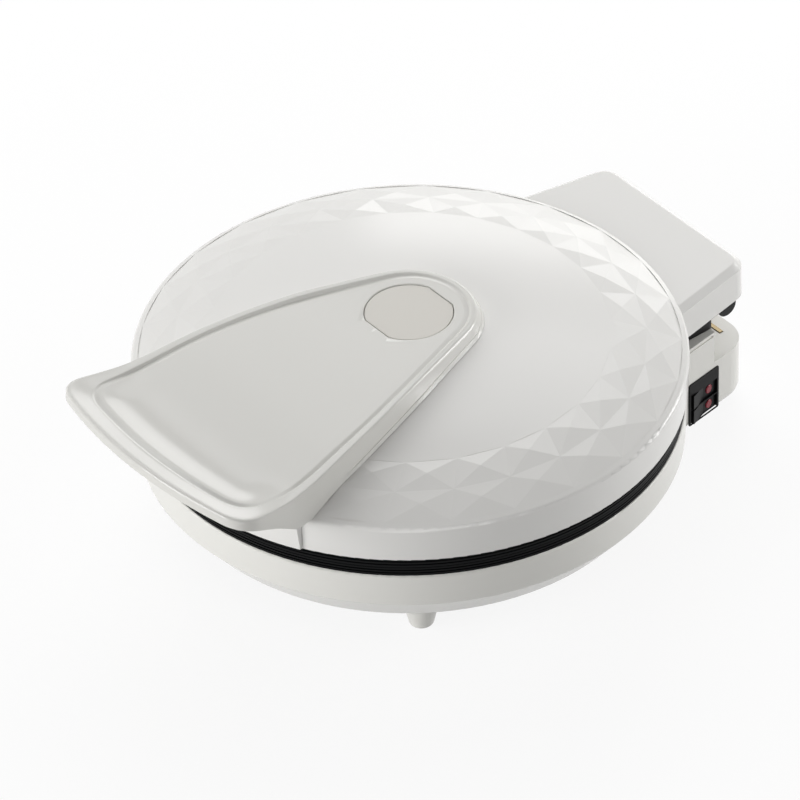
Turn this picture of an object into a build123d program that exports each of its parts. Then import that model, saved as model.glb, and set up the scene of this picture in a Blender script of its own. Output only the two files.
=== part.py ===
from build123d import *
import os
from math import asin, atan2, cos, radians, sin, sqrt, tan

# A round clamshell griddle: two facing heated plates, a domed lid with a ring of facets and a
# long moulded handle, and a hinge that floats upward so that thick food can be pressed flat.
# Heights are above the table, and plan sizes are from the middle of the plates.

os.makedirs("parts", exist_ok=True)

# Overall reach of the object before and behind the plates; its origin is midway, on the table
front_reach = 207.0
rear_reach = 210.5
pan_y = (front_reach - rear_reach) / 2

# Base casing
wall = 2.6
cover_bottom = 18.0
base_bottom = 24.0
fold_height = 43.6
base_top = 65.3
base_top_radius = 164.0
fold_radius = base_top_radius - 0.5
base_bottom_radius = base_top_radius - 16.0
base_flange_radius = base_bottom_radius - 20.0
rim_fillet = 1.2

# Rear housing below the hinge
housing_front = 150.0
housing_front_half = 75.3
housing_rear = 210.0
housing_rear_half = 66.8
housing_corner = 20.0
block_rear = 177.5
housing_top = 44.0
housing_bottom = 6.5
housing_parting = 12.0
housing_edge = 5.0
block_top = 67.3
groove_height = 64.0
groove_width = 1.5
groove_depth = 1.0
ledge_x = 58.0
ledge_length = 12.0
ledge_width = 7.0
ledge_rise = 2.5
seam_step = 0.4

# Bottom cover, its feet and its posts
cover_radius = base_bottom_radius - 6.5
cover_wall = 2.5
cover_edge = 1.8
foot_top_radius = 11.2
foot_bottom_radius = 7.2
foot_edge = 3.0
foot_circle = base_top_radius - 36.0
foot_angle = 37.2
rear_foot_x = 50.0
rear_foot_y = 172.0
riser_half = 45.0
riser_front = 139.0
screw_circle = base_bottom_radius - 14.0
screw_boss_radius = 4.5
screw_boss_height = 11.4
screw_head_radius = 3.4
screw_head_height = 2.2
screw_shank_radius = 1.75
screw_clearance = 0.35
thread_depth = 8.0
housing_screw_x = 38.0
housing_screw_y = 162.0
post_circle = 75.0
post_radius = 6.0
post_screw_drop = 8.0
cover_screw_depth = 2.0
wire_window_width = 50.0
wire_window_length = 34.0
wire_window_height = 14.0

# Plates: cast aluminium, the lower one a deep pan and the upper one a shallow disc
plate_inset = 1.0
plate_rim = 13.0
pan_draft = 6.0
lower_flange = 5.7
pan_floor = 46.0
pan_thickness = 3.0
plate_gap = 0.4
upper_flange = 6.3
upper_face = 76.0
upper_thickness = 3.0
edge_groove_width = 0.9
edge_groove_depth = 0.8
element_circle = 100.0
element_radius = 3.2
element_clearance = 0.05
element_rib_half = 5.0
element_rib_height = 3.2
element_sweep = 330.0
element_lead = 18.0
element_bend = 12.0
element_turn = 80.0
element_notch_width = 58.0
element_notch_length = 34.0
element_notch_y = element_circle + 12.0
element_exit = 84.0
plate_boss_radius = 6.0
plate_boss_height = 7.0
sheet = 0.8
reflector_radius = element_circle + 25.0
reflector_rim = 5.0
reflector_hole = 20.0
thermostat_radius = 14.0
thermostat_height = 8.0
thermostat_flange_length = 40.0
thermostat_flange_width = 10.0
tab_width = 6.3
tab_length = 6.0
tab_offset = 7.0

# Lid
lid_wall = 2.5
lid_bottom = 78.0
lid_radius = base_top_radius + 1.0
lid_flare = 0.6
lid_band_top = 99.0
lid_lower_fillet = 0.8
crown_height = 125.8
crown_sphere = 632.0
shoulder_start = lid_radius - 35.0
shoulder_radius = 200.0
lid_rim_fillet = 2.6

# Faceted ring on the lid: twenty-six bays, two tiles deep, leaning a little to the front
bay_count = 26
bay_turn = -1.83
ring_radii = (lid_radius - 45.2, lid_radius - 24.1, lid_radius - 4.0)
ring_leans = (4.07, 0.77, -1.54)
facet_rise = 1.3
relief_depth = 1.4
relief_root = 1.9
relief_overrun = 2.5

# Handle: a long tapering moulding that follows the plates' centre at one end, and sweeps up
# to a lip in front. The two outlines are its walls at a low and at a high level.
outline_low = 102.0
outline_high = 136.0
apex_low_radius = 66.0
apex_high_radius = 37.5
flank_low_angle = 6.6
flank_high_angle = 14.7
lip_bottom = 123.1
lip_lean = 0.33
lip_sag = 16.0
lip_corner = 6.0
handle_wall = 3.0
handle_front_wall = 14.0
handle_seat = 0.3
crest_apex = 37.6
crest_flank = 14.6
crest_reach = 199.5
crest_corner = 15.0
crest_width = 3.4
groove_outer = 4.2
groove_inner = 5.8
groove_sink = 0.8
bead_outer = 6.6
bead_inner = 8.6
bead_rise = 0.5
apron_half = 79.0
apron_foot_thickness = 1.1
apron_head_thickness = 3.6
apron_gap = 0.3
apron_bottom = 79.0
grip_clearance = 0.25
grip_thickness = 2.5
handle_screw_x = 42.0
handle_screw_y = 122.0
handle_screw_seat = 107.5
handle_screw_length = 11.5
handle_boss_radius = 4.8
handle_boss_top = 121.0

# Height of the handle's crest, of its sunk top and of its underside, from apex to lip
crest_line = (
    (66, 135.9), (46, 135.6), (-40, 133.9), (-101, 128.8), (-128, 123.9), (-150, 121.6), (-178, 123.8), (-214, 129.4)
)
dish_line = (
    (66, 132.6), (46, 132.2), (-40, 130.4), (-99, 127.4), (-128, 122.4), (-150, 120.3), (-178, 122.9), (-214, 129.4)
)
grip_line = ((-214, 123.6), (-207, 123.1), (-187, 118.4), (-168, 110.5), (-152, 100.5), (-141, 91.0))

# Cap over the handle's two middle screws
cap_radius = 26.3
cap_half_length = 24.0
cap_thickness = 1.2
cap_top = 131.0
cap_gap = 0.5
pocket_depth = 3.6
crown_screw_x = 14.0
crown_screw_length = 28.0
crown_boss_radius = 4.6

# Upper frame: a pressed steel spider between the lid and the upper plate
frame_sheet = 1.2
frame_hub_radius = 26.0
frame_hub_height = 102.0
frame_ring_inner = 62.0
frame_ring_outer = 88.0
frame_window = ((34, -9), (58, -19), (58, 19), (34, 9))
frame_screw_length = 8.0

# Hood: the part of the lid that covers the hinge
hood_front = 140.0
hood_front_half = 77.5
hood_rear_half = 64.6
hood_height = 23.6
hood_corner = 13.0
hood_bevel_height = 3.4
hood_bevel_angle = 52.0
hood_edge = 2.2
hood_draft = 1.5
hood_floor_top = 80.0
hood_floor_bottom = 76.6
hood_floor_lip = 1.0
hood_floor_gap = 0.3
hood_screw_x = 52.0
hood_screw_y = 172.0
hood_screw_seat = 75.0
hood_screw_length = 15.0
hood_wire_width = 30.0
hood_wire_length = 16.0
hood_wire_height = 12.0
arm_slot = 13.0
belly_rear = 178.0
belly_half = 68.0
belly_gap = 0.6

# Hinge
hinge_y = 193.5
hinge_z = 74.7
barrel_radius = 7.0
rod_radius = 2.5
rod_clearance = 0.05
rod_end = 62.8
rod_start = -64.3
barrel_inner = 38.5
barrel_outer = 64.5
centre_barrel = 18.0
arm_inner = 20.0
arm_outer = 36.0
arm_clearance = 0.8
yoke_sheet = 2.5
yoke_y = 200.0
yoke_half = 52.0
yoke_foot_half = 56.0
yoke_bottom = 10.0
yoke_shoulder = 21.0
yoke_top = 44.6
float_travel = 20.0
slot_clearance = 0.4
guide_outer = 61.0
guide_thickness = 2.5

# Twin rocker switch in the right side of the housing, and the cord's gland in the left side
switch_y = 167.5
switch_bottom = 8.4
switch_height = 31.8
switch_width = 27.4
switch_proud = 0.8
switch_lip = 1.2
switch_depth = 15.0
rocker_low = 14.6
rocker_pitch = 11.4
rocker_height = 10.0
rocker_length = 22.6
rocker_gap = 0.35
rocker_rest = 7.0
rocker_dip = 1.1
pivot_depth = 3.4
pin_radius = 0.8
pin_clearance = 0.05
lamp_radius = 3.0
lamp_offset = 5.2
lamp_length = 2.6
gland_y = 168.0
gland_height = 25.0
gland_bore = 3.6
gland_body = 6.0
gland_flange = 8.5
gland_flange_thickness = 2.0
gland_inside = 7.0

# Terminal block on the housing floor
terminal_length = 38.0
terminal_width = 13.0
terminal_height = 12.0
terminal_y = 170.0
terminal_ways = 3
terminal_hole = 2.2

pan_axis = Axis((0, pan_y, 0), (0, 0, 1))
radial = Plane(origin=(0, pan_y, 0), x_dir=(1, 0, 0), z_dir=(0, -1, 0))
side = Plane(origin=(0, pan_y, 0), x_dir=(0, 1, 0), z_dir=(1, 0, 0))


def level(height):
    """Horizontal working plane over the middle of the plates."""
    return Plane((0, pan_y, height))


def finish(builder, name):
    """Name a finished piece and write it out."""
    builder.part.label = name
    export_step(builder.part, f"parts/{name}.step")


def loop(points):
    """Closed straight-sided outline."""
    with BuildSketch(mode=Mode.PRIVATE) as outline:
        with BuildLine():
            Polyline(*points, close=True)
        make_face()
    return outline.sketch


def ring(outer, inner):
    """Flat ring about the middle of the plates."""
    with BuildSketch(mode=Mode.PRIVATE) as outline:
        Circle(outer)
        Circle(inner, mode=Mode.SUBTRACT)
    return outline.sketch


def housing_outline(inset=0.0):
    """Rear housing in plan, drawn in by a wall where asked."""
    corners = (
        (-housing_front_half, housing_front),
        (housing_front_half, housing_front),
        (housing_rear_half, housing_rear),
        (-housing_rear_half, housing_rear),
    )
    with BuildSketch(mode=Mode.PRIVATE) as outline:
        add(loop(corners))
        fillet(outline.vertices().group_by(Axis.Y)[-1], housing_corner)
        if inset:
            offset(amount=-inset, mode=Mode.REPLACE)
    return outline.sketch


# Sizes that follow from the casing and the lid
plate_radius = base_top_radius - plate_inset
plate_inner_radius = plate_radius - plate_rim
pan_floor_radius = plate_inner_radius - pan_draft
lid_band_radius = lid_radius + lid_flare

# Places around the plates
screw_angles = (20, 55, 125, 160, 235, 305)
lower_boss_angles = (30, 150, 270)
upper_boss_angles = (90, 210, 330)
cover_screw_top = base_bottom + screw_boss_height

# Base casing: a round pan wall with a folded-in lower edge, joined to the rear housing
chamfer_slope = atan2(fold_height - base_bottom, fold_radius - base_bottom_radius)
inner_bottom_radius = base_bottom_radius - wall / sin(chamfer_slope)
inner_fold_radius = fold_radius - wall
inner_fold_height = base_bottom + (inner_fold_radius - inner_bottom_radius) * tan(chamfer_slope)
pan_outside = loop((
    (0, base_bottom),
    (base_bottom_radius, base_bottom),
    (fold_radius, fold_height),
    (base_top_radius, base_top),
    (0, base_top),
))
pan_inside = loop((
    (0, base_bottom - 1),
    (inner_bottom_radius, base_bottom - 1),
    (inner_bottom_radius, base_bottom),
    (inner_fold_radius, inner_fold_height),
    (base_top_radius - wall, base_top + 1),
    (0, base_top + 1),
))

with BuildPart() as pan_form:
    with BuildSketch(radial):
        add(pan_outside)
    revolve(axis=pan_axis)
    fillet(pan_form.edges().filter_by(GeomType.CIRCLE).group_by(Axis.Z)[-1], rim_fillet)

with BuildPart() as housing_room:
    with BuildSketch(level(housing_parting - 1)):
        add(housing_outline(wall))
    extrude(amount=housing_top - wall - housing_parting + 1)
    with BuildSketch(level(housing_top - wall)):
        add(housing_outline(wall))
        with Locations((0, block_rear - wall + 50)):
            Rectangle(400, 100, mode=Mode.SUBTRACT)
    extrude(amount=block_top - housing_top)
    add(pan_form.part, mode=Mode.SUBTRACT)

side_slope = atan2(housing_front_half - housing_rear_half, housing_rear - housing_front)


def side_face_x(y):
    """Half width of the housing's flat side at a place along it."""
    return housing_front_half - (y - housing_front) * tan(side_slope)


switch_plane = Plane(
    origin=(side_face_x(switch_y), pan_y + switch_y, 0),
    x_dir=(-sin(side_slope), cos(side_slope), 0),
    z_dir=(cos(side_slope), sin(side_slope), 0),
)
gland_plane = Plane(
    origin=(-side_face_x(gland_y), pan_y + gland_y, gland_height),
    x_dir=(-sin(side_slope), -cos(side_slope), 0),
    z_dir=(-cos(side_slope), sin(side_slope), 0),
)
switch_middle = switch_bottom + switch_height / 2
switch_body_width = switch_width - 2 * switch_lip
switch_body_height = switch_height - 2 * switch_lip

with BuildPart() as switch_hole:
    with BuildSketch(switch_plane.offset(-switch_depth)):
        with Locations((0, switch_middle)):
            Rectangle(switch_body_width + 0.4, switch_body_height + 0.4)
    extrude(amount=switch_depth + 4)

with BuildPart() as base_shell:
    add(pan_form.part)
    with BuildSketch(level(housing_parting)):
        add(housing_outline())
    extrude(amount=housing_top - housing_parting)
    with BuildSketch(level(housing_top)):
        add(housing_outline())
        with Locations((0, block_rear + 50)):
            Rectangle(400, 100, mode=Mode.SUBTRACT)
    extrude(amount=block_top - housing_top)
    # small raised ledges behind the block
    with BuildSketch(level(housing_top)):
        with Locations((-ledge_x, block_rear + ledge_width / 2), (ledge_x, block_rear + ledge_width / 2)):
            Rectangle(ledge_length, ledge_width)
    extrude(amount=ledge_rise)
    # the block stands behind the plates' rims
    with BuildSketch(level(base_top)):
        Circle(base_top_radius + seam_step)
    extrude(amount=block_top - base_top, mode=Mode.SUBTRACT)
    with BuildSketch(radial):
        add(pan_inside)
    revolve(axis=pan_axis, mode=Mode.SUBTRACT)
    add(housing_room.part, mode=Mode.SUBTRACT)
    with BuildSketch(level(base_bottom)):
        add(ring(inner_bottom_radius + 1, base_flange_radius))
    extrude(amount=wall)
    with BuildSketch(level(base_bottom + wall)):
        for angle in screw_angles:
            with Locations((screw_circle * cos(radians(angle)), screw_circle * sin(radians(angle)))):
                Circle(screw_boss_radius)
    extrude(amount=screw_boss_height - wall)
    # bosses for the two screws under the housing
    with BuildSketch(level(housing_parting)):
        with Locations((-housing_screw_x, housing_screw_y), (housing_screw_x, housing_screw_y)):
            Circle(screw_boss_radius)
    extrude(amount=housing_top - housing_parting)
    # window for the wires between pan and housing
    with BuildSketch(Plane((0, pan_y + housing_front - 8, base_bottom + 4))):
        Rectangle(wire_window_width, wire_window_length)
    extrude(amount=wire_window_height, mode=Mode.SUBTRACT)
    # guides for the floating yoke
    with BuildSketch(level(housing_parting)):
        with Locations((-(yoke_half + guide_outer) / 2, yoke_y), ((yoke_half + guide_outer) / 2, yoke_y)):
            Rectangle(guide_outer - yoke_half, yoke_sheet + 2 * slot_clearance + 2 * guide_thickness)
    extrude(amount=housing_top - housing_parting)
    with BuildSketch(level(housing_parting)):
        with Locations((0, yoke_y)):
            Rectangle(2 * (yoke_foot_half + slot_clearance), yoke_sheet + 2 * slot_clearance)
    extrude(amount=yoke_shoulder + float_travel + slot_clearance - housing_parting, mode=Mode.SUBTRACT)
    with BuildSketch(level(housing_parting)):
        with Locations((0, yoke_y)):
            Rectangle(2 * (yoke_half + slot_clearance), yoke_sheet + 2 * slot_clearance)
    extrude(amount=housing_top, mode=Mode.SUBTRACT)
    # groove along both sides of the front block
    with BuildSketch(level(groove_height)):
        add(housing_outline(-5))
        add(housing_outline(groove_depth), mode=Mode.SUBTRACT)
        with Locations((0, block_rear + 49)):
            Rectangle(400, 100, mode=Mode.SUBTRACT)
        with Locations((0, housing_front - 48)):
            Rectangle(400, 100, mode=Mode.SUBTRACT)
    extrude(amount=groove_width, mode=Mode.SUBTRACT)
    # pilot holes
    with BuildSketch(level(base_bottom)):
        for angle in screw_angles:
            with Locations((screw_circle * cos(radians(angle)), screw_circle * sin(radians(angle)))):
                Circle(screw_shank_radius)
    extrude(amount=thread_depth, mode=Mode.SUBTRACT)
    with BuildSketch(level(housing_parting)):
        with Locations((-housing_screw_x, housing_screw_y), (housing_screw_x, housing_screw_y)):
            Circle(screw_shank_radius)
    extrude(amount=thread_depth, mode=Mode.SUBTRACT)
    add(switch_hole.part, mode=Mode.SUBTRACT)
    with BuildSketch(gland_plane.offset(-gland_inside - 3)):
        Circle(gland_body + 0.1)
    extrude(amount=gland_inside + 8, mode=Mode.SUBTRACT)
finish(base_shell, "base_shell")


# Bottom cover: a shallow round tray with feet, stepped down to close the housing
def foot(x, y, top):
    """Tapered round foot standing on the table."""
    with BuildPart(mode=Mode.PRIVATE) as piece:
        with BuildSketch(Plane((x, pan_y + y, 0))):
            Circle(foot_bottom_radius)
        with BuildSketch(Plane((x, pan_y + y, top))):
            Circle(foot_top_radius)
        loft()
        fillet(piece.edges().group_by(Axis.Z)[0], foot_edge)
    return piece.part


tray_floor = housing_bottom + cover_wall
cover_rim_inner = cover_radius - cover_wall

with BuildPart() as bottom_cover:
    with BuildSketch(radial):
        add(loop((
            (0, cover_bottom),
            (cover_radius, cover_bottom),
            (cover_radius, base_bottom),
            (cover_rim_inner, base_bottom),
            (cover_rim_inner, cover_bottom + cover_wall),
            (0, cover_bottom + cover_wall),
        )))
    revolve(axis=pan_axis)
    fillet(bottom_cover.edges().filter_by(GeomType.CIRCLE).group_by(Axis.Z)[0], cover_edge)
    with BuildSketch(level(housing_bottom)):
        add(housing_outline(seam_step))
    extrude(amount=housing_parting - housing_bottom)
    fillet(bottom_cover.edges().group_by(Axis.Z)[0], housing_edge)
    with BuildSketch(level(housing_bottom)):
        with Locations((0, (riser_front + housing_front + wall) / 2)):
            Rectangle(2 * riser_half, housing_front + wall - riser_front)
    extrude(amount=housing_parting - housing_bottom)
    with BuildSketch(level(housing_parting)):
        with Locations((0, (riser_front + housing_front) / 2 - 0.15)):
            Rectangle(2 * riser_half, housing_front - riser_front - 0.3)
    extrude(amount=base_bottom - housing_parting)
    with BuildSketch(level(tray_floor)):
        add(housing_outline(wall))
    extrude(amount=housing_parting, mode=Mode.SUBTRACT)
    with BuildSketch(level(tray_floor)):
        with Locations((0, (riser_front + cover_wall + housing_front + 2 * wall) / 2)):
            Rectangle(2 * (riser_half - cover_wall), housing_front + 2 * wall - riser_front - cover_wall)
    extrude(amount=base_bottom, mode=Mode.SUBTRACT)
    for angle in (-foot_angle, foot_angle - 180):
        add(foot(foot_circle * cos(radians(angle)), foot_circle * sin(radians(angle)), cover_bottom + 0.5))
    for x in (-rear_foot_x, rear_foot_x):
        add(foot(x, rear_foot_y, housing_bottom + 0.5))
    # long posts up to the lower plate, short ones at the edge and under the housing
    with BuildSketch(level(cover_bottom + cover_wall)):
        for angle in lower_boss_angles:
            with Locations((post_circle * cos(radians(angle)), post_circle * sin(radians(angle)))):
                Circle(post_radius)
    extrude(amount=pan_floor - pan_thickness - plate_boss_height - sheet - cover_bottom - cover_wall)
    with BuildSketch(level(cover_bottom)):
        for angle in screw_angles:
            with Locations((screw_circle * cos(radians(angle)), screw_circle * sin(radians(angle)))):
                Circle(screw_boss_radius + 1)
    extrude(amount=base_bottom - cover_bottom)
    with BuildSketch(level(housing_bottom)):
        with Locations((-housing_screw_x, housing_screw_y), (housing_screw_x, housing_screw_y)):
            Circle(screw_boss_radius)
    extrude(amount=housing_parting - housing_bottom)
    for height, seat, places in (
        (cover_bottom, base_bottom, [
            (screw_circle * cos(radians(angle)), screw_circle * sin(radians(angle)))
            for angle in screw_angles
        ]),
        (housing_bottom, housing_parting, [
            (-housing_screw_x, housing_screw_y),
            (housing_screw_x, housing_screw_y),
        ]),
        (cover_bottom, cover_bottom + post_screw_drop + cover_screw_depth, [
            (post_circle * cos(radians(angle)), post_circle * sin(radians(angle)))
            for angle in lower_boss_angles
        ]),
    ):
        with BuildSketch(level(height)):
            with Locations(*places):
                Circle(screw_head_radius + screw_clearance)
        extrude(amount=seat - height - cover_screw_depth, mode=Mode.SUBTRACT)
        with BuildSketch(level(height)):
            with Locations(*places):
                Circle(screw_shank_radius + screw_clearance)
        extrude(amount=40, mode=Mode.SUBTRACT)
    add(switch_hole.part, mode=Mode.SUBTRACT)
finish(bottom_cover, "bottom_cover")


def screws(places, seat, length, head_radius=screw_head_radius, head_up=False):
    """Group of like screws with cross-recessed pan heads; the head's flat side is at seat."""
    turn = -1 if head_up else 1
    with BuildPart(mode=Mode.PRIVATE) as group:
        with BuildSketch(level(seat)):
            with Locations(*places):
                Circle(head_radius)
        extrude(amount=-turn * screw_head_height)
        heads = group.edges().group_by(Axis.Z)[-1 if head_up else 0]
        fillet(heads, screw_head_height * 0.4)
        with BuildSketch(level(seat - turn * screw_head_height)):
            with Locations(*places):
                Rectangle(head_radius * 1.1, head_radius * 0.28)
                Rectangle(head_radius * 0.28, head_radius * 1.1)
        extrude(amount=turn * screw_head_height * 0.6, mode=Mode.SUBTRACT)
        with BuildSketch(level(seat)):
            with Locations(*places):
                Circle(screw_shank_radius)
        extrude(amount=turn * length)
    return group.part


cover_places = [
    (screw_circle * cos(radians(angle)), screw_circle * sin(radians(angle))) for angle in screw_angles
]
housing_places = [(-housing_screw_x, housing_screw_y), (housing_screw_x, housing_screw_y)]
post_places = [
    (post_circle * cos(radians(angle)), post_circle * sin(radians(angle))) for angle in lower_boss_angles
]
with BuildPart() as bottom_screws:
    add(screws(cover_places, base_bottom - cover_screw_depth, thread_depth + 1.6))
    add(screws(housing_places, housing_parting - cover_screw_depth, thread_depth + 1.6))
finish(bottom_screws, "bottom_screws")

plate_underside = pan_floor - pan_thickness
boss_foot = plate_underside - plate_boss_height
post_screw_seat = cover_bottom + post_screw_drop
with BuildPart() as plate_screws:
    add(screws(post_places, post_screw_seat, boss_foot + 5 - post_screw_seat))
finish(plate_screws, "plate_screws")

# Lower plate: cast pan with a rim, a rib that holds the element and three bosses below
with BuildPart() as lower_plate:
    with BuildSketch(radial):
        add(loop((
            (0, plate_underside),
            (element_circle - element_rib_half, plate_underside),
            (element_circle - element_rib_half, plate_underside - element_rib_height),
            (element_circle + element_rib_half, plate_underside - element_rib_height),
            (element_circle + element_rib_half, plate_underside),
            (pan_floor_radius + 2.2, plate_underside),
            (plate_inner_radius + 2.8, base_top),
            (plate_radius, base_top),
            (plate_radius, base_top + lower_flange),
            (plate_inner_radius, base_top + lower_flange),
            (pan_floor_radius, pan_floor),
            (0, pan_floor),
        )))
        with Locations(
            (plate_radius, base_top + lower_flange * 0.36),
            (plate_radius, base_top + lower_flange * 0.7),
        ):
            Rectangle(2 * edge_groove_depth, edge_groove_width, mode=Mode.SUBTRACT)
        with Locations((element_circle, plate_underside - element_rib_height)):
            Circle(element_radius + element_clearance, mode=Mode.SUBTRACT)
    revolve(axis=pan_axis)
    with BuildSketch(level(plate_underside)):
        with Locations(*post_places):
            Circle(plate_boss_radius)
    extrude(amount=-plate_boss_height)
    with BuildSketch(level(boss_foot)):
        with Locations(*post_places):
            Circle(screw_shank_radius)
    extrude(amount=6, mode=Mode.SUBTRACT)
    with BuildSketch(level(plate_underside)):
        with Locations((0, element_circle)):
            Rectangle(element_exit, 2 * element_rib_half + 6)
    extrude(amount=-element_rib_height, mode=Mode.SUBTRACT)
    inner_floor = lower_plate.edges().filter_by(GeomType.CIRCLE).filter_by(
        lambda edge: abs(edge.radius - pan_floor_radius) < 0.1
    )
    fillet(inner_floor, 5)
finish(lower_plate, "lower_plate")


def element(height):
    """Tubular heater: an open ring whose ends turn out towards the hinge."""
    half_gap = (360 - element_sweep) / 2
    with BuildPart(mode=Mode.PRIVATE) as tube:
        with BuildLine(level(height)) as path:
            arc = CenterArc((0, 0), element_circle, 90 + half_gap, element_sweep)
            first = JernArc(arc @ 1, arc % 1, element_bend, -element_turn)
            Line(first @ 1, first @ 1 + (first % 1) * element_lead)
            second = JernArc(arc @ 0, -(arc % 0), element_bend, element_turn)
            Line(second @ 1, second @ 1 + (second % 1) * element_lead)
        start = path.wires()[0] @ 0
        with BuildSketch(Plane(origin=start, z_dir=path.wires()[0] % 0)):
            Circle(element_radius)
        sweep(path=path.wires()[0])
    return tube.part


lower_element_height = plate_underside - element_rib_height
with BuildPart() as lower_element:
    add(element(lower_element_height))
finish(lower_element, "lower_element")


def reflector(bottom, upward, holes):
    """Thin steel dish that throws the heat back; its rim is turned up or down."""
    turn = 1 if upward else -1
    base = bottom if upward else bottom + sheet
    with BuildPart(mode=Mode.PRIVATE) as dish:
        with BuildSketch(radial):
            add(loop((
                (reflector_hole, base),
                (reflector_radius - reflector_rim, base),
                (reflector_radius, base + turn * reflector_rim),
                (reflector_radius - sheet * 1.4, base + turn * reflector_rim),
                (reflector_radius - reflector_rim - sheet * 0.4, base + turn * sheet),
                (reflector_hole, base + turn * sheet),
            )))
        revolve(axis=pan_axis)
        with BuildSketch(level(bottom - 1 - reflector_rim)):
            with Locations(*holes):
                Circle(screw_shank_radius + screw_clearance)
            with Locations((0, element_notch_y)):
                Rectangle(element_notch_width, element_notch_length)
        extrude(amount=sheet + 2 + 2 * reflector_rim, mode=Mode.SUBTRACT)
    return dish.part


with BuildPart() as lower_reflector:
    add(reflector(boss_foot - sheet, True, post_places))
finish(lower_reflector, "lower_reflector")


def thermostat(seat, upward):
    """Round bimetal thermostat with a flange and two spade tabs; its face is at seat."""
    turn = 1 if upward else -1
    with BuildPart(mode=Mode.PRIVATE) as piece:
        with BuildSketch(level(seat)):
            Circle(thermostat_radius)
        extrude(amount=turn * thermostat_height)
        chamfer(piece.edges().group_by(Axis.Z)[-1 if upward else 0], 1)
        with BuildSketch(level(seat)):
            SlotOverall(thermostat_flange_length, thermostat_flange_width)
        extrude(amount=turn * sheet)
        with BuildSketch(level(seat + turn * thermostat_height)):
            with Locations((0, tab_offset), (0, -tab_offset)):
                Rectangle(tab_width, sheet)
        extrude(amount=turn * tab_length)
    return piece.part


with BuildPart() as lower_thermostat:
    add(thermostat(plate_underside, False))
finish(lower_thermostat, "lower_thermostat")

# Terminal block on the housing floor
with BuildPart() as terminal_block:
    with BuildSketch(Plane((0, pan_y + terminal_y, tray_floor))):
        Rectangle(terminal_length, terminal_width)
    extrude(amount=terminal_height)
    chamfer(terminal_block.edges().group_by(Axis.Z)[-1], 1)
    with BuildSketch(Plane((0, pan_y + terminal_y, tray_floor + terminal_height))):
        with GridLocations(terminal_length / terminal_ways, terminal_width / 2, terminal_ways, 2):
            Circle(terminal_hole)
    extrude(amount=-terminal_height * 0.6, mode=Mode.SUBTRACT)
finish(terminal_block, "terminal_block")

# Cord gland: a bush through the left side of the housing
with BuildPart() as cord_gland:
    with BuildSketch(gland_plane.offset(-gland_inside)):
        Circle(gland_body)
    extrude(amount=gland_inside)
    with BuildSketch(gland_plane):
        Circle(gland_flange)
    extrude(amount=gland_flange_thickness)
    fillet(cord_gland.edges().filter_by(GeomType.CIRCLE).sort_by(Axis.X)[0], 1)
    with BuildSketch(gland_plane.offset(-wall - 2)):
        Circle(gland_flange)
        Circle(gland_body - 0.5, mode=Mode.SUBTRACT)
    extrude(amount=1.8)
    with BuildSketch(gland_plane.offset(-gland_inside - 1)):
        Circle(gland_bore)
    extrude(amount=gland_inside + gland_flange_thickness + 2, mode=Mode.SUBTRACT)
finish(cord_gland, "cord_gland")

# Switch frame: a bezel and box with an opening for each rocker, and the pin that both turn on
rocker_heights = (rocker_low, rocker_low + rocker_pitch)
opening_height = rocker_height + 2 * rocker_gap
opening_length = rocker_length + 1.4
pivot = switch_plane.offset(-pivot_depth).origin
with BuildPart() as switch_frame:
    with BuildSketch(switch_plane.offset(-switch_depth)):
        with Locations((0, switch_middle)):
            Rectangle(switch_body_width, switch_body_height)
    extrude(amount=switch_depth)
    with BuildSketch(switch_plane):
        with Locations((0, switch_middle)):
            RectangleRounded(switch_width, switch_height, 1.5)
    extrude(amount=switch_proud)
    outward = Axis(switch_plane.origin, switch_plane.z_dir)
    chamfer(switch_frame.faces().sort_by(outward)[-1].outer_wire().edges(), 0.3)
    with BuildSketch(switch_plane.offset(-switch_depth + 1.5)):
        with Locations(*[(0, height) for height in rocker_heights]):
            Rectangle(opening_length, opening_height)
    extrude(amount=switch_depth + 2, mode=Mode.SUBTRACT)
    with BuildSketch(Plane((pivot.X, pivot.Y, switch_bottom + switch_lip + 0.3))):
        Circle(pin_radius)
    extrude(amount=switch_bottom + switch_height, mode=Mode.SUBTRACT)
finish(switch_frame, "switch_frame")

with BuildPart() as rocker_pin:
    with BuildSketch(Plane((pivot.X, pivot.Y, switch_bottom + switch_lip + 0.3))):
        Circle(pin_radius)
    extrude(amount=rocker_heights[1] + opening_height / 2 + 1.5 - switch_bottom - switch_lip - 0.3)
finish(rocker_pin, "rocker_pin")

# Rockers: each has two pressing faces that meet in a shallow valley, and a clear lens
rocker_tilt = radians(rocker_rest)


def rocker_plane(height):
    """Horizontal plane at the pin, turned with the rocker; its first axis runs along the face."""
    along = side_slope + rocker_tilt
    return Plane(
        origin=(pivot.X, pivot.Y, height),
        x_dir=(-sin(along), cos(along), 0),
        z_dir=(0, 0, 1),
    )


def lamp_plane(height):
    """Plane on the rocker's face at its lens, looking outward."""
    along = side_slope + rocker_tilt
    base = rocker_plane(height)
    outward = Vector(cos(along), sin(along), 0)
    sideways = Vector(-sin(along), cos(along), 0)
    spot = base.origin + outward * rocker_face + sideways * lamp_offset
    return Plane(origin=spot, x_dir=(-sin(along), cos(along), 0), z_dir=(cos(along), sin(along), 0))


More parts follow.
